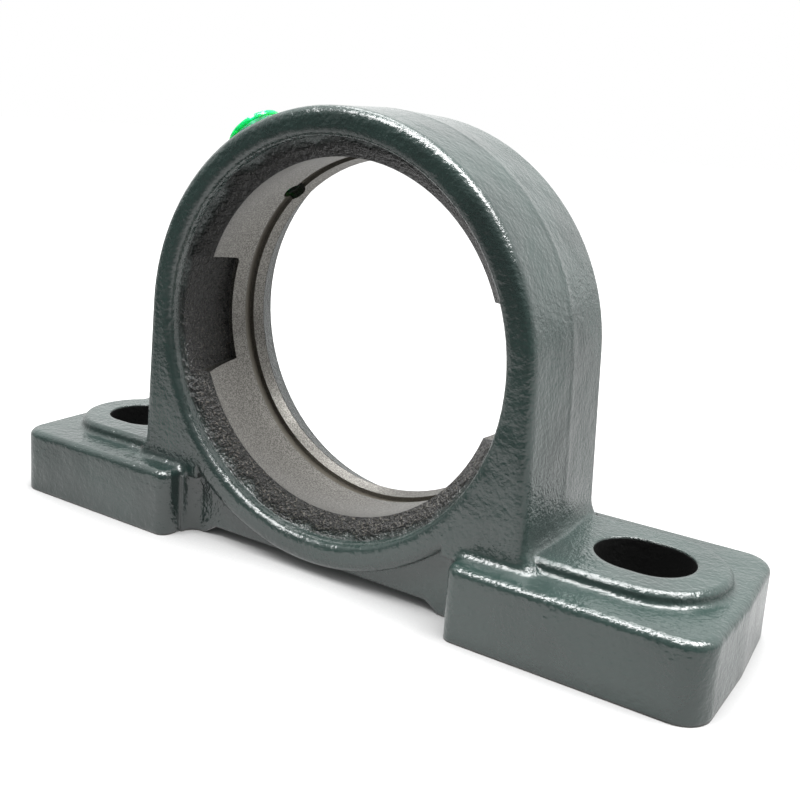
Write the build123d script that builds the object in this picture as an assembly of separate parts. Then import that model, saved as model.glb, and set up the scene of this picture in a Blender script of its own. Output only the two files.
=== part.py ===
"""Pillow block housing, empty: one iron casting and the plastic plug in its grease hole.

Millimetres, +Z up. X runs along the feet, Y along the shaft. The origin is the middle of the
bottom face. The face with the loading slots looks towards -Y.
"""
from build123d import *
import math
import os

# Main sizes of the casting
overall_length = 265.0
foot_depth = 72.0
shaft_height = 76.2
ring_wall = 13.8
ring_width = 54.0
draft_angle = 2.0

# Feet, and the raised pads round their bolt slots
foot_gap = 108.0
foot_thickness = 23.0
foot_end_radius = 9.0
foot_inner_radius = 4.0
foot_top_radius = 2.5
pad_height = 4.0
pad_wall = 10.0
pad_top_bevel = 1.3
pad_base_radius = 1.8
ledge_radius = 2.5
bolt_spacing = 203.0
bolt_slot_width = 25.0
bolt_slot_length = 30.0

# Sides that run down from the ring to the feet
side_flare_angle = 2.5
side_foot_radius = 8.5
ring_edge_radius = 3.0

# Web under the ring, between the feet
web_set_back = 3.5
web_corner_radius = 5.0
recess_height = 3.5
recess_end_margin = 6.0
recess_end_slope = 3.0

# Bore: cast mouths, spherical seat, grease groove and loading slots
seat_diameter = 120.0
seat_width = 32.0
front_mouth_step = 3.9
rear_mouth_step = 2.4
front_mouth_radius = 2.6
rear_mouth_radius = 1.8
lip_depth = 5.5
lip_step = 0.8
groove_offset = 9.6
groove_width = 3.9
groove_depth = 1.2
loading_slot_height = 37.0
loading_slot_draft = 6.0
loading_slot_clearance = 2.5
loading_slot_overrun = 1.0
loading_slot_corner_radius = 2.0

# Grease hole and its plug
grease_hole_diameter = 8.0
grease_hole_angle = 43.0
plug_clearance = 0.1
plug_reach = 9.0
plug_stem_height = 10.5
plug_head_diameter = 21.0
plug_head_thickness = 4.5
plug_head_bevel = 1.0
plug_slot_width = 2.0
plug_slot_depth = 2.5
plug_slot_turn = 41.0

# Worked out from the sizes above
seat_radius = seat_diameter / 2
half_seat = seat_width / 2
ring_radius = seat_radius + ring_wall
crown_height = shaft_height + ring_radius
half_ring = ring_width / 2
half_depth = foot_depth / 2
half_gap = foot_gap / 2
half_length = overall_length / 2
pad_top = foot_thickness + pad_height
draft_slope = math.tan(math.radians(draft_angle))
pad_end_radius = bolt_slot_width / 2 + pad_wall
pad_end_centre = (bolt_spacing + bolt_slot_length - bolt_slot_width) / 2

# Helpers: the solid core of the ring before boring, the flats in each small rounding, how far cutters
# run past a face, how deep a blend is sunk into its walls, and the least distance that tells edges apart
core_radius = seat_radius / 2
rounding_flats = 3
past_end = 5.0
blend_sink = 0.05
tiny = 0.1

bore_centre = (0, 0, shaft_height)
bore_axis = Axis(bore_centre, (0, 1, 0))

# The side wall leans outwards by the flare angle, then turns into the foot top in a concave sweep
flare = math.radians(side_flare_angle)
side_outward = Vector(math.cos(flare), 0, math.sin(flare))
side_downward = Vector(math.sin(flare), 0, -math.cos(flare))
sweep_height = foot_thickness + side_foot_radius
sweep_reach = ring_radius + side_foot_radius
side_run = (shaft_height + sweep_reach * math.sin(flare) - sweep_height) / math.cos(flare)
sweep_centre = Vector(*bore_centre) + side_downward * side_run + side_outward * sweep_reach
pad_start = sweep_centre.X - side_foot_radius - 2 * pad_height

# Where the front face of the side meets the foot top at the outer end of the ledge
face_sweep_radius = side_foot_radius + half_ring * draft_slope + ring_edge_radius
ledge_end = sweep_centre.X - math.sqrt(face_sweep_radius**2 - side_foot_radius**2)


def rounding(centre_x, centre_y, radius, start, end):
    """Points round a quarter turn or so, from one angle to another, for a small rounding made of flats."""
    steps = [start + (end - start) * i / rounding_flats for i in range(rounding_flats + 1)]
    angles = [math.radians(step) for step in steps]
    return [(centre_x + radius * math.cos(a), centre_y + radius * math.sin(a)) for a in angles]


def ring_section():
    """Wall section, its X the distance from the bore axis: drafted both ways, edges rounded."""
    edge_y = half_ring - ring_edge_radius
    edge_x = ring_radius - edge_y * draft_slope - ring_edge_radius / math.cos(math.radians(draft_angle))
    front = rounding(edge_x, -edge_y, ring_edge_radius, -90, -draft_angle)
    rear = rounding(edge_x, edge_y, ring_edge_radius, draft_angle, 90)
    with BuildSketch() as section:
        with BuildLine():
            Polyline(
                (core_radius, -half_ring),
                *front,
                (ring_radius, 0),
                *rear,
                (core_radius, half_ring),
                close=True,
            )
        make_face()
    return section.sketch


def ring():
    """The round part, turned about the bore axis. The bore is cut later."""
    section = Pos(*bore_centre) * ring_section()
    return revolve(section, axis=bore_axis, revolution_arc=360)


def side():
    """One side, from its tangent line on the ring down to the foot, where it sweeps outwards."""
    section = ring_section()
    top = Plane(origin=bore_centre, x_dir=side_outward, z_dir=side_downward)
    straight = extrude(top * section, amount=side_run)
    turn_start = Vector(*bore_centre) + side_downward * side_run
    bend = Plane(origin=turn_start, x_dir=side_outward, z_dir=side_downward)
    sweep_axis = Axis(sweep_centre, (0, -1, 0))
    swept = revolve(bend * section, axis=sweep_axis, revolution_arc=90 - side_flare_angle)
    # Kept over the foot, and above the foot's top rounding a little further in, beside the ring
    beyond = Box(overall_length, foot_depth, crown_height, align=(Align.MIN, Align.CENTER, Align.MIN))
    over_foot = Pos(half_gap + half_depth * draft_slope, 0, 0) * beyond
    beside_ring = Pos(half_gap - web_corner_radius, 0, foot_thickness - foot_top_radius) * beyond
    return (straight + swept) & (over_foot + beside_ring)


def half_foot():
    """The part of one foot in front of the parting line: drafted ends, rounded corners and top edges."""
    length = half_length - half_gap
    profile = Pos(half_gap + length / 2, 0) * Rectangle(length, 2 * (foot_thickness + half_depth))
    block = extrude(Plane.XZ * profile, amount=half_depth, taper=draft_angle)
    block &= Box(overall_length, foot_depth, foot_thickness, align=(Align.MIN, Align.MAX, Align.MIN))
    block = fillet(front_uprights(block)[-1], foot_end_radius)
    block = fillet(front_uprights(block)[0], foot_inner_radius)
    top_edges = block.faces().sort_by(Axis.Z)[-1].edges()
    rounded = [e for e in top_edges if e.bounding_box().min.Y < -tiny]
    return fillet(rounded, foot_top_radius)


def front_uprights(block):
    """The upright corner edges at the front of a foot, sorted along X."""
    edges = block.edges().filter_by(lambda e: e.bounding_box().size.Z > foot_thickness / 2)
    return edges.filter_by(lambda e: e.center().Y < -half_depth / 2).sort_by(Axis.X)


def foot():
    """One whole foot: its front half and the same half turned over the parting line."""
    front = half_foot()
    return front + mirror(front, about=Plane.XZ)


def pad():
    """Raised oblong round the bolt slot, from inside the side wall out to its round end."""
    straight_length = pad_end_centre - pad_start
    straight = Pos(pad_start + straight_length / 2, 0) * Rectangle(straight_length, 2 * pad_end_radius)
    outline = straight + Pos(pad_end_centre, 0) * Circle(pad_end_radius)
    block = extrude(outline, amount=pad_top)
    top_edges = block.faces().sort_by(Axis.Z)[-1].edges()
    bevelled = [e for e in top_edges if e.bounding_box().max.X > pad_start + tiny]
    return chamfer(bevelled, pad_top_bevel)


def blend_section(radius):
    """Section of a concave blend against a wall on its left and a floor below, sunk a little into both."""
    with BuildSketch() as section:
        with BuildLine():
            Polyline((0, 0), *rounding(radius, radius, radius, 270, 180), close=True)
        make_face()
    return Pos(-blend_sink, -blend_sink) * section.sketch


def blend_plane(x, y):
    """Upright plane across X at the foot top, its own X pointing to the front."""
    return Plane(origin=(x, y, foot_thickness), x_dir=(0, -1, 0), z_dir=(-1, 0, 0))


def ledge_blend():
    """Concave blend along the front face where it stands on the foot, carried round both its ends."""
    inner = half_gap + half_ring * draft_slope + foot_top_radius
    start = blend_plane(inner, -half_ring) * blend_section(ledge_radius)
    end = blend_plane(ledge_end, -half_ring) * blend_section(ledge_radius)
    straight = extrude(start, amount=ledge_end - inner, dir=(1, 0, 0))
    over_edge = Axis((inner, 0, foot_thickness - foot_top_radius), (0, -1, 0))
    round_corner = Axis((ledge_end, ring_edge_radius - half_ring, 0), (0, 0, 1))
    inner_turn = revolve(start, axis=over_edge, revolution_arc=90)
    outer_turn = revolve(end, axis=round_corner, revolution_arc=90)
    return straight + inner_turn + outer_turn


def pad_blend():
    """Concave blend round the foot of the pad."""
    section = blend_plane(pad_end_centre, -pad_end_radius) * blend_section(pad_base_radius)
    straight = extrude(section, amount=pad_end_centre - ledge_end, dir=(-1, 0, 0))
    turn = revolve(section, axis=Axis((pad_end_centre, 0, 0), (0, 0, 1)), revolution_arc=180)
    return turn + straight + mirror(straight, about=Plane.XZ)


def half_base():
    """Foot, pad and side wall of the +X end, with their blends."""
    ledge = ledge_blend()
    return side() + foot() + pad() + pad_blend() + ledge + mirror(ledge, about=Plane.XZ)


def web():
    """The wall that joins the feet below the ring, with concave corners and a shallow arch below."""
    half_wall = half_ring - web_set_back
    corner_start = half_gap - web_corner_radius
    span = 2 * (half_gap + web_corner_radius)
    wall = extrude(Rectangle(span, 2 * half_wall), amount=shaft_height / 2)
    square = Rectangle(2 * web_corner_radius, web_corner_radius, align=(Align.MIN, Align.MAX))
    hollow = Pos(0, -web_corner_radius) * Circle(web_corner_radius)
    corner_height = foot_thickness - foot_top_radius
    corner = extrude(Pos(corner_start, -half_wall) * (square - hollow), amount=corner_height)
    corners = corner + mirror(corner, about=Plane.XZ)
    return wall + corners + mirror(corners, about=Plane.YZ) - underside_arch()


def underside_arch():
    """Room below the web: flat over most of its length, its ends sloping down to the feet."""
    half_span = half_gap - recess_end_margin
    run = recess_height * recess_end_slope
    with BuildSketch(Plane.XZ) as outline:
        with BuildLine():
            Polyline(
                (-half_span - run / 2, -recess_height / 2),
                (half_span + run / 2, -recess_height / 2),
                (half_span, 0),
                (half_span - run / 2, recess_height),
                (run / 2 - half_span, recess_height),
                (-half_span, 0),
                close=True,
            )
        make_face()
        fillet(outline.vertices().sort_by(Axis.Y)[-2:], recess_height)
    return extrude(outline.sketch, amount=half_depth, both=True)


def blank():
    """The whole casting before its bore, slots and grease hole are cut."""
    right = half_base()
    return ring() + right + mirror(right, about=Plane.YZ) + web()


def bore():
    """All that the through bore takes away: rounded mouths, front lip, cones and spherical seat."""
    seat_edge = math.sqrt(seat_radius**2 - half_seat**2)
    front_radius = seat_radius + front_mouth_step
    rear_radius = seat_radius + rear_mouth_step
    front_centre = (front_radius + front_mouth_radius, front_mouth_radius - half_ring)
    rear_centre = (rear_radius + rear_mouth_radius, half_ring - rear_mouth_radius)
    lip_end = lip_depth - half_ring
    end = half_ring + past_end
    with BuildSketch() as section:
        with BuildLine():
            ThreePointArc((seat_edge, half_seat), (seat_radius, 0), (seat_edge, -half_seat))
            Polyline(
                (seat_edge, -half_seat),
                (front_radius - lip_step, lip_end),
                (front_radius, lip_end),
                *rounding(*front_centre, front_mouth_radius, 180, 270),
                (front_centre[0], -end),
                (0, -end),
                (0, end),
                (rear_centre[0], end),
                *rounding(*rear_centre, rear_mouth_radius, 90, 180),
                (seat_edge, half_seat),
            )
        make_face()
    return revolve(Pos(*bore_centre) * section.sketch, axis=bore_axis, revolution_arc=360)


def groove():
    """The grease groove round the seat."""
    bottom = math.sqrt(seat_radius**2 - groove_offset**2) + groove_depth
    across = Pos(bottom / 2, groove_offset) * Rectangle(bottom, groove_width)
    return revolve(Pos(*bore_centre) * across, axis=bore_axis, revolution_arc=360)


def loading_slots():
    """Both slots that let a bearing in sideways: cut from the front past the middle, wider in front."""
    mouth = -half_ring - past_end
    half_height = loading_slot_height / 2
    widening = math.tan(math.radians(loading_slot_draft))
    mouth_height = half_height + (loading_slot_overrun - mouth) * widening
    with BuildSketch(Plane.YZ) as outline:
        with BuildLine():
            Polyline(
                (mouth, -mouth_height),
                (loading_slot_overrun, -half_height),
                (loading_slot_overrun, half_height),
                (mouth, mouth_height),
                close=True,
            )
        make_face()
        fillet(outline.vertices().sort_by(Axis.Y)[-2:], loading_slot_corner_radius)
    block = Pos(0, 0, shaft_height) * extrude(outline.sketch, amount=ring_radius, both=True)
    floor_radius = seat_radius + loading_slot_clearance
    floor = Pos(*bore_centre) * Rot(90, 0, 0) * Cylinder(floor_radius, 2 * (ring_width + past_end))
    return block & floor


def bolt_slots():
    """The two long holes for the foot bolts."""
    outline = SlotOverall(bolt_slot_length, bolt_slot_width)
    slot = extrude(Pos(bolt_spacing / 2, 0, -past_end) * outline, amount=pad_top + 2 * past_end)
    return slot + mirror(slot, about=Plane.YZ)


def at_grease_hole(distance):
    """Place on the grease hole axis at a distance from the bore axis, +Z pointing outwards."""
    return Pos(0, groove_offset, shaft_height) * Rot(0, -grease_hole_angle, 0) * Pos(0, 0, distance)


def grease_hole():
    """The round hole from the outside of the ring into the groove."""
    length = ring_radius - seat_radius + 2 * past_end
    return at_grease_hole(seat_radius - past_end) * Cylinder(
        grease_hole_diameter / 2, length, align=(Align.CENTER, Align.CENTER, Align.MIN)
    )


def housing():
    """The finished casting."""
    return blank() - bore() - groove() - loading_slots() - bolt_slots() - grease_hole()


def grease_plug():
    """The plastic plug: a stem in the hole and a round slotted head that stands above the ring."""
    on_end = (Align.CENTER, Align.CENTER, Align.MIN)
    stem_radius = (grease_hole_diameter - plug_clearance) / 2
    stem = Pos(0, 0, -plug_reach) * Cylinder(stem_radius, plug_reach + plug_stem_height, align=on_end)
    head = Cylinder(plug_head_diameter / 2, plug_head_thickness, align=on_end)
    head = chamfer(head.edges().filter_by(GeomType.CIRCLE), plug_head_bevel)
    cutter = Box(plug_slot_width, plug_head_diameter + past_end, 2 * plug_slot_depth)
    slot = Pos(0, 0, plug_head_thickness) * Rot(0, 0, plug_slot_turn) * cutter
    return at_grease_hole(ring_radius) * (stem + Pos(0, 0, plug_stem_height) * (head - slot))


def save(shape, name):
    """Write one node's shape."""
    export_step(shape, os.path.join("parts", name + ".step"))


os.makedirs("parts", exist_ok=True)
save(housing(), "housing")
save(grease_plug(), "grease_plug")
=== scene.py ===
import math

import bpy
import numpy as np
from mathutils import Matrix, Vector


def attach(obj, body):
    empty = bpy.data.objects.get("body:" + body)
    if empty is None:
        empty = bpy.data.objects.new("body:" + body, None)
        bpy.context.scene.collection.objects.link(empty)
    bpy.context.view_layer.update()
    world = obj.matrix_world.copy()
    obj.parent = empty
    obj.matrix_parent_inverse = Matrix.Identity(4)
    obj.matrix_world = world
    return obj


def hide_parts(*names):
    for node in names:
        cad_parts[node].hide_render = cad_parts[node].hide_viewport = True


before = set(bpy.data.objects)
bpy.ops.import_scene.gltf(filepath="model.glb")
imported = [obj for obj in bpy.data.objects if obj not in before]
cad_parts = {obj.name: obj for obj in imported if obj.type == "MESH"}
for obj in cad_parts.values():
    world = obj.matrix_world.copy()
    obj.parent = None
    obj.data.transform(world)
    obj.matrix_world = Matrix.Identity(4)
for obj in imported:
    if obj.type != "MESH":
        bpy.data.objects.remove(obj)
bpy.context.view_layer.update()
print("frame loaded")

# The casting, in metres: what the paint, the rough iron and the machined faces are placed by
casting = {
    "shaftHeight": 0.0762,
    "halfWidth": 0.027,        # of the ring, front to back
    "boreReach": 0.0662,       # everything nearer to the bore axis than this lies in the bore
    "boreEdge": 0.0003,        # over which the bore's finish gives way to the paint
    "seatHalfWidth": 0.016,
    "grooveFrom": 0.00765,
    "grooveTo": 0.01155,
    "slotFloorFrom": 0.0616,   # the slots' floors lie beyond this, the seat and the groove within it
    "cutEdge": 0.0002,         # over which a machined face gives way to the cast iron
    "soleFrom": 0.0001,        # the underside is bare up to here
    "soleTo": 0.0004,
    "sideFrom": 0.074,         # from the middle: where the outer sides of the ring lie
    "sideTo": 0.086,
    "sideEdge": 0.001,         # over which the coarse grit on them ends
}


# Node helpers

def addNode(tree, kind, **settings):
    node = tree.nodes.new(kind)
    for name, value in settings.items():
        setattr(node, name, value)
    return node


def feed(tree, source, socket):
    # source is a socket, or a plain value for an unlinked input
    if hasattr(source, "is_output"):
        tree.links.new(source, socket)
    else:
        socket.default_value = source


def calc(tree, operation, a, b=0.0):
    node = addNode(tree, "ShaderNodeMath", operation=operation)
    feed(tree, a, node.inputs[0])
    feed(tree, b, node.inputs[1])
    return node.outputs[0]


def product(tree, first, *others):
    for other in others:
        first = calc(tree, "MULTIPLY", first, other)
    return first


def total(tree, first, *others):
    for other in others:
        first = calc(tree, "ADD", first, other)
    return first


def absolute(tree, value):
    return calc(tree, "ABSOLUTE", value)


def across(tree, a, b):
    # the distance that lies a one way and b the other
    return calc(tree, "SQRT", total(tree, product(tree, a, a), product(tree, b, b)))


def vectorCalc(tree, operation, a, b=(0, 0, 0)):
    # a length or a dot product comes out as a number, anything else as a vector
    node = addNode(tree, "ShaderNodeVectorMath", operation=operation)
    feed(tree, a, node.inputs[0])
    feed(tree, b, node.inputs[1])
    return node.outputs["Value" if operation in ("LENGTH", "DOT_PRODUCT") else "Vector"]


def ramp(tree, value, low, high, toLow=0.0, toHigh=1.0):
    # smooth step from toLow at low to toHigh at high
    node = addNode(tree, "ShaderNodeMapRange", interpolation_type="SMOOTHSTEP")
    for socket, number in zip(node.inputs, (value, low, high, toLow, toHigh)):
        feed(tree, number, socket)
    return node.outputs[0]


def within(tree, value, low, high, edge=0.0001):
    # 1 between low and high, 0 outside, with a narrow soft edge
    above = ramp(tree, value, low - edge, low + edge)
    return product(tree, above, ramp(tree, value, high + edge, high - edge))


def noise(tree, place, scale, detail=2.0, roughness=0.5):
    node = addNode(tree, "ShaderNodeTexNoise")
    feed(tree, place, node.inputs["Vector"])
    node.inputs["Scale"].default_value = scale
    node.inputs["Detail"].default_value = detail
    node.inputs["Roughness"].default_value = roughness
    return node.outputs["Fac"]


def blendColours(tree, amount, first, second):
    node = addNode(tree, "ShaderNodeMix", data_type="RGBA")
    feed(tree, amount, node.inputs[0])
    feed(tree, first, node.inputs[6])
    feed(tree, second, node.inputs[7])
    return node.outputs[2]


def blendValues(tree, amount, first, second):
    node = addNode(tree, "ShaderNodeMix", data_type="FLOAT")
    feed(tree, amount, node.inputs[0])
    feed(tree, first, node.inputs[2])
    feed(tree, second, node.inputs[3])
    return node.outputs[0]


def addBump(tree, height, distance):
    node = addNode(tree, "ShaderNodeBump")
    node.inputs["Distance"].default_value = distance
    feed(tree, height, node.inputs["Height"])
    return node


def objectPlace(tree):
    return addNode(tree, "ShaderNodeTexCoord").outputs["Object"]


def newGroup(name, inputs, outputs):
    # a node group with its named sockets, and its input and output nodes
    tree = bpy.data.node_groups.new(name, "ShaderNodeTree")
    for label, kind in inputs:
        tree.interface.new_socket(label, in_out="INPUT", socket_type=kind)
    for label, kind in outputs:
        tree.interface.new_socket(label, in_out="OUTPUT", socket_type=kind)
    return tree, addNode(tree, "NodeGroupInput"), addNode(tree, "NodeGroupOutput")


def useGroup(tree, group, **values):
    node = addNode(tree, "ShaderNodeGroup", node_tree=group)
    for name, value in values.items():
        feed(tree, value, node.inputs[name])
    return node


def newMaterial(name):
    # a material, its node tree and its shader
    material = bpy.data.materials.new(name)
    material.use_nodes = True
    return material, material.node_tree, material.node_tree.nodes["Principled BSDF"]


def colour(red, green, blue):
    # a colour as it is seen on the screen, 0 to 255, as the renderer's own
    def single(level):
        level = level / 255
        return level / 12.92 if level <= 0.04045 else ((level + 0.055) / 1.055) ** 2.4
    return (single(red), single(green), single(blue), 1.0)


# Shared effects

castSkin = {
    "swellScale": 90,
    "lumpScale": 600,
    "gritScale": 1300,
    "speckFrom": 0.52,         # grit above these levels shows as bright specks: partly the iron's own grain, partly painted glints
    "speckTo": 0.68,
}
toolMarks = {
    "lineScale": 3500,
    "fleckScale": 1900,
    "fleckFrom": 0.40,
    "fleckTo": 0.62,
}


def grainGroup():
    # the uneven skin of sand-cast iron, as one height: broad swells, lumps and fine grit
    tree, into, out = newGroup(
        "castGrain",
        [("Place", "NodeSocketVector"), ("Swell", "NodeSocketFloat"), ("Lump", "NodeSocketFloat"),
         ("Grit", "NodeSocketFloat")],
        [("Height", "NodeSocketFloat"), ("Speck", "NodeSocketFloat")],
    )
    place = into.outputs["Place"]
    swell = noise(tree, place, castSkin["swellScale"], detail=1)
    lump = noise(tree, place, castSkin["lumpScale"])
    grit = noise(tree, place, castSkin["gritScale"], roughness=0.6)
    swellHeight = product(tree, swell, into.outputs["Swell"])
    lumpHeight = product(tree, lump, into.outputs["Lump"])
    gritHeight = product(tree, grit, into.outputs["Grit"])
    feed(tree, total(tree, swellHeight, lumpHeight, gritHeight), out.inputs["Height"])
    feed(tree, ramp(tree, grit, castSkin["speckFrom"], castSkin["speckTo"]), out.inputs["Speck"])
    return tree


def turningGroup():
    # fine tool lines that run round the bore, with the dark graphite flecks of cut iron
    tree, into, out = newGroup(
        "turnedIron",
        [("Place", "NodeSocketVector"), ("Along", "NodeSocketFloat")],
        [("Height", "NodeSocketFloat"), ("Fleck", "NodeSocketFloat")],
    )
    lines = addNode(tree, "ShaderNodeTexNoise", noise_dimensions="1D")
    feed(tree, into.outputs["Along"], lines.inputs["W"])
    lines.inputs["Scale"].default_value = toolMarks["lineScale"]
    lines.inputs["Detail"].default_value = 2
    fleck = noise(tree, into.outputs["Place"], toolMarks["fleckScale"], detail=3, roughness=0.65)
    feed(tree, lines.outputs["Fac"], out.inputs["Height"])
    feed(tree, ramp(tree, fleck, toolMarks["fleckFrom"], toolMarks["fleckTo"]), out.inputs["Fleck"])
    return tree


castGrain = grainGroup()
turnedIron = turningGroup()


# The casting's finish

enamel = {
    "colour": colour(42, 60, 56),
    "shade": colour(34, 49, 46),
    "toneScale": 25,           # of the slow change between the two
    "toneRange": (0.35, 0.65),
    "roughness": 0.14,
    "shine": 1.0,              # specular level
    "height": 0.0008,          # of the uneven skin
    "swell": 0.9,
    "lump": 0.38,
    "grit": 0.12,
    "softEdge": 0.0018,        # how far round an edge the paint softens it
    "lip": 0.0066,             # how far the paint reaches into the front mouth
    "lipBorder": 0.0018,       # half the width of its soft border there
    "lipWobble": 0.004,        # how far the skin moves that border for a full height
    "wobbleFrom": 0.5,         # the skin's height that moves neither the border nor the seam
    "rearCover": 0.7,          # of the cast iron behind the seat
}
pitting = {
    # extra grit in patches where the sand left its mark, most of all behind the parting line
    "grit": 0.25,
    "scale": 35,
    "lean": 8.0,               # what the pattern gains towards the back, per metre
    "from": 0.5,               # patches begin at this level of the pattern, and are full at the next
    "to": 0.75,
}
coarseSides = {
    # extra grit low on the sides of the ring, below an uneven border
    "grit": 0.2,
    "top": 0.105,              # heights: none above, all of it below the next
    "full": 0.065,
    "borderScale": 60,
    "borderDrift": 0.05,
}
seam = {
    # a low wavy ridge where the two halves of the mould met
    "from": 0.035,             # it shows above this height, in full above the next
    "full": 0.045,
    "halfWidth": 0.0028,
    "height": 0.22,            # times the skin's height
    "wander": 0.3,             # times the wobble of the lip's border
}
rawIron = {
    "dark": colour(30, 30, 28),
    "light": colour(120, 115, 106),
    "roughness": 0.38,
    "relief": 3.0,             # times the paint's height
    "swell": 0.2,
    "lump": 1.4,
    "grit": 0.9,
    "speckTop": 0.045,         # painted light: the specks are brightest low in the bore, where light falls, and fade from the bore axis up to the least brightness here
    "speckFull": -0.05,
    "speckLeast": 0.15,
    "dullSooner": 0.4,         # where the paint thins out it turns dull first
    "reliefLater": 2.5,        # and the sand's relief shows later
}
machined = {
    "light": colour(130, 128, 123),
    "dark": colour(86, 84, 80),
    "roughness": 0.32,
    "metal": 0.85,
    "lineHeight": 0.03,
    "softEdge": 0.0002,
}
groove = {"colour": colour(94, 89, 78), "roughness": 0.4, "metal": 0.4}
boltSlot = {
    # painted shade: the bolt slots' walls are near black, as the deep shadow inside them
    "wall": colour(9, 10, 9),
    "dullness": 0.8,           # as roughness, and as metallic, which takes the shine and the bounce light off the painted shade
    "place": 0.1015,           # of the slots, from the middle
    "halfRun": 0.0025,         # from a slot's middle to the centre of its round end
    "radius": 0.0125,
    "nearWall": 0.0001,        # the painted shade reaches this far past the radius, and ends at the next
    "pastWall": 0.0004,
    "padTop": 0.027,
    "rim": 0.0008,             # the paint turns this far down into a slot
}


def paintGrit(tree, place, x, y, z):
    # a little everywhere, more in patches and more low on the sides
    patch = total(tree, noise(tree, place, pitting["scale"]), product(tree, y, pitting["lean"]))
    pitted = product(tree, ramp(tree, patch, pitting["from"], pitting["to"]), pitting["grit"])
    drift = product(tree, noise(tree, place, coarseSides["borderScale"]), coarseSides["borderDrift"])
    low = ramp(tree, total(tree, z, drift), coarseSides["top"], coarseSides["full"])
    half, edge = casting["halfWidth"], casting["sideEdge"]
    onRing = ramp(tree, absolute(tree, y), half + edge, half - edge)
    onSide = within(tree, absolute(tree, x), casting["sideFrom"], casting["sideTo"], edge)
    return total(tree, pitted, product(tree, low, onRing, onSide, coarseSides["grit"]), enamel["grit"])


def boreMasks(tree, y, radius, wobble):
    # in the groove, on a machined face, rough from the painted lip inwards, behind the seat
    inBore = ramp(tree, radius, casting["boreReach"], casting["boreReach"] - casting["boreEdge"])
    onSeat = within(tree, y, -casting["seatHalfWidth"], casting["seatHalfWidth"])
    nearer = ramp(tree, radius, casting["slotFloorFrom"], casting["slotFloorFrom"] - casting["cutEdge"])
    inGroove = product(tree, inBore, within(tree, y, casting["grooveFrom"], casting["grooveTo"]))
    cut = calc(tree, "MAXIMUM", product(tree, inBore, onSeat, nearer), inGroove)
    lip, border = enamel["lip"] - casting["halfWidth"], enamel["lipBorder"]
    rough = product(tree, inBore, ramp(tree, total(tree, y, wobble), lip - border, lip + border))
    behind = ramp(tree, y, casting["seatHalfWidth"], casting["seatHalfWidth"] + casting["cutEdge"])
    return inGroove, cut, rough, product(tree, inBore, behind)


def slotShadeMask(tree, x, y, z):
    # the walls of the bolt slots, where shade is painted: as far from the slot's own middle line as its
    # radius
    along = calc(tree, "SUBTRACT", absolute(tree, x), boltSlot["place"])
    pastEnd = calc(tree, "SUBTRACT", absolute(tree, along), boltSlot["halfRun"])
    distance = across(tree, calc(tree, "MAXIMUM", pastEnd, 0.0), y)
    wall = boltSlot["radius"]
    inside = ramp(tree, distance, wall + boltSlot["pastWall"], wall + boltSlot["nearWall"])
    return product(tree, inside, ramp(tree, z, boltSlot["padTop"], boltSlot["padTop"] - boltSlot["rim"]))


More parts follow.
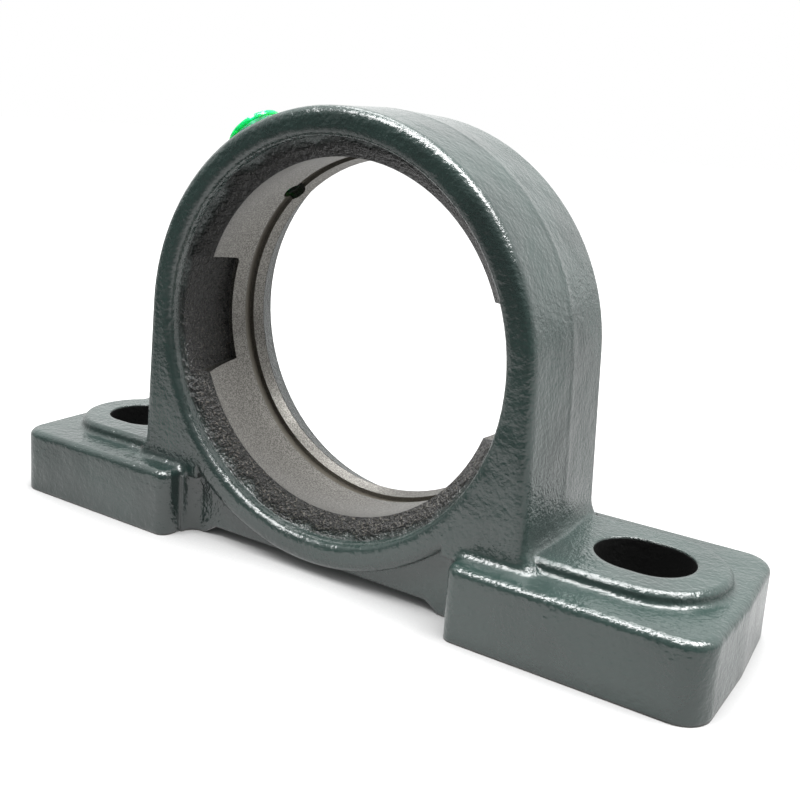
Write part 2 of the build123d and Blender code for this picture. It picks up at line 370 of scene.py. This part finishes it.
def castingMaterial():
    material, tree, shader = newMaterial("enamelledCasting")
    place = objectPlace(tree)
    parts = addNode(tree, "ShaderNodeSeparateXYZ")
    feed(tree, place, parts.inputs[0])
    x, y, z = parts.outputs
    up = calc(tree, "SUBTRACT", z, casting["shaftHeight"])

    paintGrain = useGroup(tree, castGrain, Place=place, Swell=enamel["swell"], Lump=enamel["lump"],
                          Grit=paintGrit(tree, place, x, y, z))
    rawGrain = useGroup(tree, castGrain, Place=place, Swell=rawIron["swell"], Lump=rawIron["lump"],
                        Grit=rawIron["grit"])
    turned = useGroup(tree, turnedIron, Place=place, Along=y)

    uneven = calc(tree, "SUBTRACT", paintGrain.outputs["Height"], enamel["wobbleFrom"])
    wobble = product(tree, uneven, enamel["lipWobble"])
    inGroove, cut, rough, behind = boreMasks(tree, y, across(tree, x, up), wobble)
    bare = calc(tree, "MAXIMUM", cut, ramp(tree, z, casting["soleTo"], casting["soleFrom"]))
    slotShade = slotShadeMask(tree, x, y, z)

    # colours
    tone = ramp(tree, noise(tree, place, enamel["toneScale"], detail=3), *enamel["toneRange"])
    paint = blendColours(tree, tone, enamel["shade"], enamel["colour"])
    # painted shade: near black on the bolt slots' walls
    paint = blendColours(tree, slotShade, paint, boltSlot["wall"])
    # painted light: the specks are brighter low in the bore, where the light falls on them, and dimmer above
    paintedSpeckLight = ramp(tree, up, rawIron["speckTop"], rawIron["speckFull"], rawIron["speckLeast"], 1.0)
    speck = product(tree, rawGrain.outputs["Speck"], paintedSpeckLight)
    # light specks on the dark iron: partly its own grain, partly painted glints
    iron = blendColours(tree, speck, rawIron["dark"], rawIron["light"])
    turning = blendColours(tree, turned.outputs["Fleck"], machined["dark"], machined["light"])
    turning = blendColours(tree, inGroove, turning, groove["colour"])
    unpainted = calc(tree, "SUBTRACT", rough, product(tree, behind, enamel["rearCover"]))
    base = blendColours(tree, unpainted, paint, iron)
    feed(tree, blendColours(tree, bare, base, turning), shader.inputs["Base Color"])

    # metal and gloss
    metal = product(tree, bare, blendValues(tree, inGroove, machined["metal"], groove["metal"]))
    dull = product(tree, slotShade, boltSlot["dullness"])
    feed(tree, calc(tree, "MAXIMUM", metal, dull), shader.inputs["Metallic"])
    thinned = calc(tree, "POWER", rough, rawIron["dullSooner"])
    gloss = blendValues(tree, thinned, enamel["roughness"], rawIron["roughness"])
    gloss = blendValues(tree, slotShade, gloss, boltSlot["dullness"])
    cutGloss = blendValues(tree, inGroove, machined["roughness"], groove["roughness"])
    feed(tree, blendValues(tree, bare, gloss, cutGloss), shader.inputs["Roughness"])
    shader.inputs["Specular IOR Level"].default_value = enamel["shine"]

    # relief
    fromSeam = absolute(tree, total(tree, y, product(tree, wobble, seam["wander"])))
    ridge = product(tree, ramp(tree, fromSeam, seam["halfWidth"], 0.0), seam["height"])
    ridge = product(tree, ridge, ramp(tree, z, seam["from"], seam["full"]))
    sand = product(tree, rawGrain.outputs["Height"], rawIron["relief"])
    exposed = calc(tree, "POWER", rough, rawIron["reliefLater"])
    height = blendValues(tree, exposed, total(tree, paintGrain.outputs["Height"], ridge), sand)
    lines = product(tree, turned.outputs["Height"], machined["lineHeight"])
    bump = addBump(tree, blendValues(tree, bare, height, lines), enamel["height"])
    rounded = addNode(tree, "ShaderNodeBevel", samples=8)
    softness = ramp(tree, bare, 0.0, 1.0, enamel["softEdge"], machined["softEdge"])
    feed(tree, softness, rounded.inputs["Radius"])
    feed(tree, rounded.outputs[0], bump.inputs["Normal"])
    feed(tree, bump.outputs[0], shader.inputs["Normal"])
    return material


def paintNode(name, material):
    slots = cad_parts[name].data.materials
    slots.clear()
    slots.append(material)


paintNode("housing", castingMaterial())
print("casting finished")


# The grease plug: a thin domed head with a slot, on a hub and a plain stem

greasePlug = {
    "lean": 43,                # degrees, of its axis from upright towards -X
    "slotTurn": 41,            # degrees, of the slot from Y
    "behind": 0.0096,          # its place behind the parting plane
    "stemRadius": 0.00395,
    "stemEnd": 0.0648,         # this and the other heights are distances from the bore axis
    "stemChamfer": 0.0005,
    "stemTip": 0.87,           # the radius of the stem's end, times the stem's
    "rimLow": 0.0860,
    "rimRounding": 0.0004,     # of the rim's lower edge
    "rimInset": 0.0001,        # of that edge from the head's radius
    "hubLow": 0.0846,          # where the thin head's hub meets the stem
    "slotFloor": 0.0868,
    "rimTop": 0.0880,
    "crown": 0.0887,
    "headRadius": 0.01045,
    "topRadius": 0.0096,       # where the top turns into the rim
    "hubRadius": 0.0068,
    "slotHalfWidth": 0.0010,
    "slotSoftening": 0.0002,   # of the slot's edges
    "rowsAside": 22,           # rows of points beside the slot, on each side
    "pointsAlong": 25,
    "rimPoints": 6,            # on the rim's upper edge, on its lower edge and on the hub
    "edgePoints": 5,
    "hubPoints": 9,
    "sharpFrom": 40,           # degrees, from which an edge stays sharp
}
plastic = {
    "colour": colour(30, 240, 142),
    "deep": colour(6, 222, 118),
    "light": colour(200, 255, 230),    # painted light: lighter where light would come through the thin underside
    "toneScale": 300,
    "toneRange": (0.3, 0.7),
    "toneMost": 0.5,           # the most of the deep colour that the tone gives
    "roughness": 0.12,
    "clearness": 0.45,
    "milkiness": 0.8,          # how much light spreads inside, and over what distance
    "spread": 0.006,
    "spreadByColour": (0.5, 1.0, 0.7),     # red, green, blue
    "waveHeight": 0.0001,
    "waveScale": 180,
}
plasticPlaces = {
    # where the tones begin and end: heights above the rim's lower edge, and radii
    "edge": (0.0008, 0.0002),
    "underside": (0.0003, 0.0),
    "ringOuter": (0.0099, 0.0092),     # of the ring of painted light on the underside
    "ringInner": (0.0042, 0.0056),
    "stem": (0.0056, 0.0046),
    "stemTop": (-0.006, -0.001),
}


def plugPlace(tree):
    # height along the plug's axis from the bore axis, and distance from the plug's axis
    lean = math.radians(greasePlug["lean"])
    foot = (0, greasePlug["behind"], casting["shaftHeight"])
    fromFoot = vectorCalc(tree, "SUBTRACT", objectPlace(tree), foot)
    height = vectorCalc(tree, "DOT_PRODUCT", fromFoot, (-math.sin(lean), 0, math.cos(lean)))
    distance = vectorCalc(tree, "LENGTH", fromFoot)
    square = calc(tree, "SUBTRACT", product(tree, distance, distance), product(tree, height, height))
    return height, calc(tree, "SQRT", calc(tree, "MAXIMUM", square, 0.0))


def plasticMaterial():
    material, tree, shader = newMaterial("greenPlastic")
    height, radius = plugPlace(tree)
    height = calc(tree, "SUBTRACT", height, greasePlug["rimLow"])
    places = plasticPlaces

    # deep green at the lower edge of the rim and at the top of the stem, and painted light below the thin
    # head
    edge = ramp(tree, height, *places["edge"])
    below = ramp(tree, height, *places["underside"])
    ring = product(tree, ramp(tree, radius, *places["ringOuter"]), ramp(tree, radius, *places["ringInner"]))
    under = product(tree, below, ring)
    stem = product(tree, ramp(tree, radius, *places["stem"]), ramp(tree, height, *places["stemTop"]))
    place = objectPlace(tree)
    wander = noise(tree, place, plastic["toneScale"])
    tone = ramp(tree, wander, *plastic["toneRange"], 0.0, plastic["toneMost"])
    base = blendColours(tree, tone, plastic["colour"], plastic["deep"])
    base = blendColours(tree, edge, base, plastic["deep"])
    # painted light under the thin head, where light would come through it
    base = blendColours(tree, under, base, plastic["light"])
    feed(tree, blendColours(tree, stem, base, plastic["deep"]), shader.inputs["Base Color"])
    shader.inputs["Roughness"].default_value = plastic["roughness"]
    shader.inputs["Transmission Weight"].default_value = plastic["clearness"]
    shader.inputs["Subsurface Weight"].default_value = plastic["milkiness"]
    shader.inputs["Subsurface Scale"].default_value = plastic["spread"]
    shader.inputs["Subsurface Radius"].default_value = plastic["spreadByColour"]
    bump = addBump(tree, noise(tree, place, plastic["waveScale"], detail=1), plastic["waveHeight"])
    feed(tree, bump.outputs[0], shader.inputs["Normal"])
    return material


def domeHeight(distance):
    # a flat parabola from the crown to the top edge of the rim
    fall = greasePlug["crown"] - greasePlug["rimTop"]
    return greasePlug["crown"] - fall * (distance / greasePlug["topRadius"]) ** 2


def arc(centreRadius, centreHeight, radius, start, end, steps):
    # points on a round stretch of a profile, as rows of distance from the axis and height
    turn = np.radians(np.linspace(start, end, steps))
    return np.column_stack((centreRadius + radius * np.cos(turn), centreHeight + radius * np.sin(turn)))


def slotRows():
    # rows across the head, from one side to the other: place, drop below the dome, highest height allowed
    wall, floor, soft = greasePlug["slotHalfWidth"], greasePlug["slotFloor"], greasePlug["slotSoftening"]
    aside = greasePlug["rowsAside"]
    edge = np.arccos((wall + 2 * soft) / greasePlug["topRadius"])
    outer = greasePlug["topRadius"] * np.cos(np.linspace(0, edge, aside))
    # the slot's edge falls in two short steps before the wall, and the floor meets the wall at a chamfer
    place = np.concatenate((outer, [wall + 0.75 * soft, wall, wall, wall - soft]))
    drop = np.concatenate((np.zeros(aside), [0.25 * soft, soft, 0.0, 0.0]))
    limit = np.concatenate((np.ones(aside + 2), [floor + soft, floor]))
    return (np.concatenate((place, -place[::-1])), np.concatenate((drop, drop[::-1])),
            np.concatenate((limit, limit[::-1])))


def headTop(place, drop, limit):
    # each row runs from rim to rim: aside = place, along = t * half the chord there, for t from -1 to 1
    steps = greasePlug["pointsAlong"]
    halfChord = np.sqrt(np.maximum(greasePlug["topRadius"] ** 2 - place**2, 0))
    along = np.linspace(-1, 1, steps)[None, :] * halfChord[:, None]
    aside = np.repeat(place[:, None], steps, axis=1)
    height = domeHeight(np.hypot(aside, along)) - drop[:, None]
    return np.stack((aside, along, np.minimum(height, limit[:, None])), axis=2)


def headProfile():
    # from the top's edge over the rim, across the underside to the hub, down the stem to its end;
    # the hub is a quarter of an ellipse: radius by sin t, height by 1 - cos t
    p = greasePlug
    rim, low = p["headRadius"] - p["topRadius"], p["rimRounding"]
    over = arc(p["topRadius"], p["rimTop"] - rim, rim, 90, 0, p["rimPoints"])
    inset = p["headRadius"] - low - p["rimInset"]
    under = arc(inset, p["rimLow"] + low, low, 0, -90, p["edgePoints"])
    t = np.linspace(0, np.pi / 2, p["hubPoints"])
    hub = np.column_stack((p["hubRadius"] + (p["stemRadius"] - p["hubRadius"]) * np.sin(t),
                           p["rimLow"] + (p["hubLow"] - p["rimLow"]) * (1 - np.cos(t))))
    end = np.array([(1, p["stemChamfer"]), (p["stemTip"], 0), (0, 0)]) * (p["stemRadius"], 1)
    return np.concatenate((over, under, hub, end + (0, p["stemEnd"])))


def headSkirt(place, drop, limit):
    # the profile carried round the axis at the angles where the rows meet the rim
    half = np.arccos(np.clip(place / greasePlug["topRadius"], -1, 1))
    turn = np.concatenate((half, 2 * np.pi - half[::-1]))
    ceiling = np.minimum(greasePlug["rimTop"] - drop, limit)
    ceiling = np.concatenate((ceiling, ceiling[::-1]))
    distance, height = headProfile()[:, 0, None], headProfile()[:, 1, None]
    return np.stack((distance * np.cos(turn), distance * np.sin(turn), np.minimum(height, ceiling)), axis=2)


def gridFaces(grid, first):
    # four-cornered faces between neighbours of a grid of points whose first point has the given number
    number = first + np.arange(grid.shape[0] * grid.shape[1]).reshape(grid.shape[:2])
    corners = (number[:-1, :-1], number[1:, :-1], number[1:, 1:], number[:-1, 1:])
    return np.stack(corners, axis=2).reshape(-1, 4)


def mergedMesh(name, grids, sharpFrom):
    # one mesh of all the grids: points at the same place are one, and faces without area are left out
    points = np.concatenate([grid.reshape(-1, 3) for grid in grids])
    starts = np.cumsum([0] + [grid.shape[0] * grid.shape[1] for grid in grids])
    faces = np.concatenate([gridFaces(grid, first) for grid, first in zip(grids, starts)])
    rounded = np.round(points * 1e7).astype(np.int64)      # to a ten-thousandth of a millimetre
    kept, number = np.unique(rounded, axis=0, return_index=True, return_inverse=True)[1:]
    corners = [tuple(dict.fromkeys(face)) for face in number.ravel()[faces].tolist()]
    mesh = bpy.data.meshes.new(name)
    mesh.from_pydata(points[kept].tolist(), [], [face for face in corners if len(face) > 2])
    mesh.polygons.foreach_set("use_smooth", [True] * len(mesh.polygons))
    mesh.set_sharp_from_angle(angle=math.radians(sharpFrom))
    return mesh


def makeGreasePlug():
    rows = slotRows()
    turned = Matrix.Rotation(-math.radians(greasePlug["lean"]), 3, "Y")
    turned = np.array(turned @ Matrix.Rotation(math.radians(greasePlug["slotTurn"]), 3, "Z"))
    centre = (0, greasePlug["behind"], casting["shaftHeight"])
    grids = [grid @ turned.T + centre for grid in (headTop(*rows)[::-1], headSkirt(*rows))]
    mesh = mergedMesh("grease_plug_detail", grids, greasePlug["sharpFrom"])
    piece = bpy.data.objects.new("grease_plug_detail", mesh)
    bpy.context.scene.collection.objects.link(piece)
    piece.data.materials.append(plasticMaterial())
    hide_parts("grease_plug")
    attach(piece, "root")


makeGreasePlug()
print("grease plug made")


# Studio: floor, background and lamps

studio = {
    "floorSize": 30.0,
    "floorBelow": 0.00005,     # the object's underside
    "floorColour": colour(155, 155, 155),
    "darkColour": colour(80, 80, 80),
    "darkTowards": (-0.1, -0.99, 0),       # in front the floor grows darker
    "darkFrom": 0.06,
    "darkTo": 0.35,
    "nearReach": 0.3,          # distances from the middle of the object: the floor's glow is the
    "farReach": 0.9,           # first of each pair up to here, and the second from here on
    "floorGlow": 0.82,         # only as it is seen, so that the floor reads as white
    "farGlow": 0.98,
    "mirrorGlow": 0.03,        # the same two as reflections see them
    "farMirrorGlow": 0.3,
    "closeGlow": 0.45,         # as reflections see it, this much more close to the object
    "closeFrom": 0.05,
    "closeReach": 0.2,
    "shadowReach": 0.10,       # how far from the object the floor's glow fades
    "shadowDepth": 1.7,
    "skyTowards": (-0.15, 0.6, 0.78),
    "skyLow": 0.07,            # light from the front and from below
    "skyHigh": 0.6,            # light from above and behind
    "skyRange": (-0.6, 0.9),   # how far away from and towards that side they hold
    "mirrorLow": 0.16,         # the same as reflections see it
    "mirrorHigh": 1.25,
    "mirrorRange": (-0.4, 0.8),
}
lamps = {
    # name: place, aimed at, length along X, width, power
    "frontPanel": ((0.1, -0.15, 1.0), (0, 0, 0.05), 1.8, 0.28, 27),
    "backPanel": ((0.1, 0.22, 1.02), (0, 0, 0.05), 1.8, 0.16, 11),
}


def seenDirectly(tree, rays):
    return calc(tree, "MAXIMUM", rays.outputs["Is Camera Ray"], rays.outputs["Is Transmission Ray"])


def floorMaterial():
    material, tree, shader = newMaterial("paleFloor")
    tree.nodes.remove(shader)
    place = objectPlace(tree)
    distance = vectorCalc(tree, "LENGTH", place)
    far = ramp(tree, distance, studio["nearReach"], studio["farReach"])
    forwards = vectorCalc(tree, "DOT_PRODUCT", place, studio["darkTowards"])
    dark = ramp(tree, forwards, studio["darkFrom"], studio["darkTo"])
    diffuse = addNode(tree, "ShaderNodeBsdfDiffuse")
    feed(tree, blendColours(tree, dark, studio["floorColour"], studio["darkColour"]), diffuse.inputs["Color"])

    # white as the camera sees it, apart from the object's shadow
    rays = addNode(tree, "ShaderNodeLightPath")
    whitened = blendValues(tree, calc(tree, "MAXIMUM", far, dark), studio["floorGlow"], studio["farGlow"])
    shade = addNode(tree, "ShaderNodeAmbientOcclusion", samples=8)
    shade.inputs["Distance"].default_value = studio["shadowReach"]
    clear = calc(tree, "POWER", shade.outputs["AO"], studio["shadowDepth"])
    direct = product(tree, seenDirectly(tree, rays), whitened, clear)

    # less of it as reflections see it, and none from the dark side
    mirrored = blendValues(tree, far, studio["mirrorGlow"], studio["farMirrorGlow"])
    close = ramp(tree, distance, studio["closeFrom"], studio["closeReach"], studio["closeGlow"], 0.0)
    mirrored = blendValues(tree, dark, total(tree, mirrored, close), 0.0)
    mirrored = product(tree, rays.outputs["Is Glossy Ray"], mirrored)
    glow = addNode(tree, "ShaderNodeEmission")
    feed(tree, total(tree, direct, mirrored), glow.inputs["Strength"])
    both = addNode(tree, "ShaderNodeAddShader")
    feed(tree, diffuse.outputs[0], both.inputs[0])
    feed(tree, glow.outputs[0], both.inputs[1])
    feed(tree, both.outputs[0], tree.nodes["Material Output"].inputs["Surface"])
    return material


def makeFloor():
    half = studio["floorSize"] / 2
    corners = np.array([(-half, -half, 0), (half, -half, 0), (half, half, 0), (-half, half, 0)])
    mesh = bpy.data.meshes.new("floor")
    mesh.from_pydata((corners - (0, 0, studio["floorBelow"])).tolist(), [], [(0, 1, 2, 3)])
    floor = bpy.data.objects.new("floor", mesh)
    bpy.context.scene.collection.objects.link(floor)
    mesh.materials.append(floorMaterial())


def makeSky():
    world = bpy.data.worlds.new("studio")
    bpy.context.scene.world = world
    world.use_nodes = True
    tree = world.node_tree
    tree.nodes.clear()
    rays = addNode(tree, "ShaderNodeLightPath")
    direction = addNode(tree, "ShaderNodeTexCoord").outputs["Generated"]
    towards = vectorCalc(tree, "DOT_PRODUCT", direction, studio["skyTowards"])
    sky = ramp(tree, towards, *studio["skyRange"], studio["skyLow"], studio["skyHigh"])
    mirror = ramp(tree, towards, *studio["mirrorRange"], studio["mirrorLow"], studio["mirrorHigh"])
    strength = blendValues(tree, rays.outputs["Is Glossy Ray"], sky, mirror)
    background = addNode(tree, "ShaderNodeBackground")
    background.inputs["Color"].default_value = (1, 1, 1, 1)
    feed(tree, blendValues(tree, seenDirectly(tree, rays), strength, 1.0), background.inputs["Strength"])
    feed(tree, background.outputs[0], addNode(tree, "ShaderNodeOutputWorld").inputs["Surface"])


def aimed(position, target):
    # a turn that points -Z from position to target
    return (Vector(target) - Vector(position)).to_track_quat("-Z", "Y").to_matrix().to_4x4()


def makeLamps():
    for name, (position, target, length, width, power) in lamps.items():
        lamp = bpy.data.lights.new(name, "AREA")
        lamp.shape = "RECTANGLE"
        lamp.size = length
        lamp.size_y = width
        lamp.energy = power
        holder = bpy.data.objects.new(name, lamp)
        holder.matrix_world = Matrix.Translation(position) @ aimed(position, target)
        bpy.context.scene.collection.objects.link(holder)


makeFloor()
makeSky()
makeLamps()
print("studio lit")


# Camera, as the photograph was taken

camera = {
    "place": (0.17811, -0.26819, 0.14132),
    "yaw": 31.58,              # degrees, turned from +Y towards -X
    "pitch": -11.65,
    "roll": 3.92,
    "focal": 986.62,           # in pixels of an image as wide as the frame
    "rise": 60,                # pixels by which the photograph's frame lies below its optical axis
    "frame": 800,              # pixels across
    "sensor": 36,              # millimetres
    "nearest": 0.01,
}


def makeCamera():
    yaw, pitch, roll = (math.radians(camera[name]) for name in ("yaw", "pitch", "roll"))
    forward = Vector((-math.sin(yaw) * math.cos(pitch), math.cos(yaw) * math.cos(pitch), math.sin(pitch)))
    right = Vector((math.cos(yaw), math.sin(yaw), 0))
    up = right.cross(forward)
    turnedRight = right * math.cos(roll) + up * math.sin(roll)
    turnedUp = up * math.cos(roll) - right * math.sin(roll)
    data = bpy.data.cameras.new("camera")
    data.sensor_width = camera["sensor"]
    data.lens = camera["focal"] * camera["sensor"] / camera["frame"]
    data.shift_y = -camera["rise"] / camera["frame"]
    data.clip_start = camera["nearest"]
    holder = bpy.data.objects.new("camera", data)
    turn = Matrix((turnedRight, turnedUp, -forward)).transposed().to_4x4()
    holder.matrix_world = Matrix.Translation(camera["place"]) @ turn
    bpy.context.scene.collection.objects.link(holder)
    bpy.context.scene.camera = holder


makeCamera()
bpy.context.scene.view_settings.view_transform = "Standard"
print("camera placed")
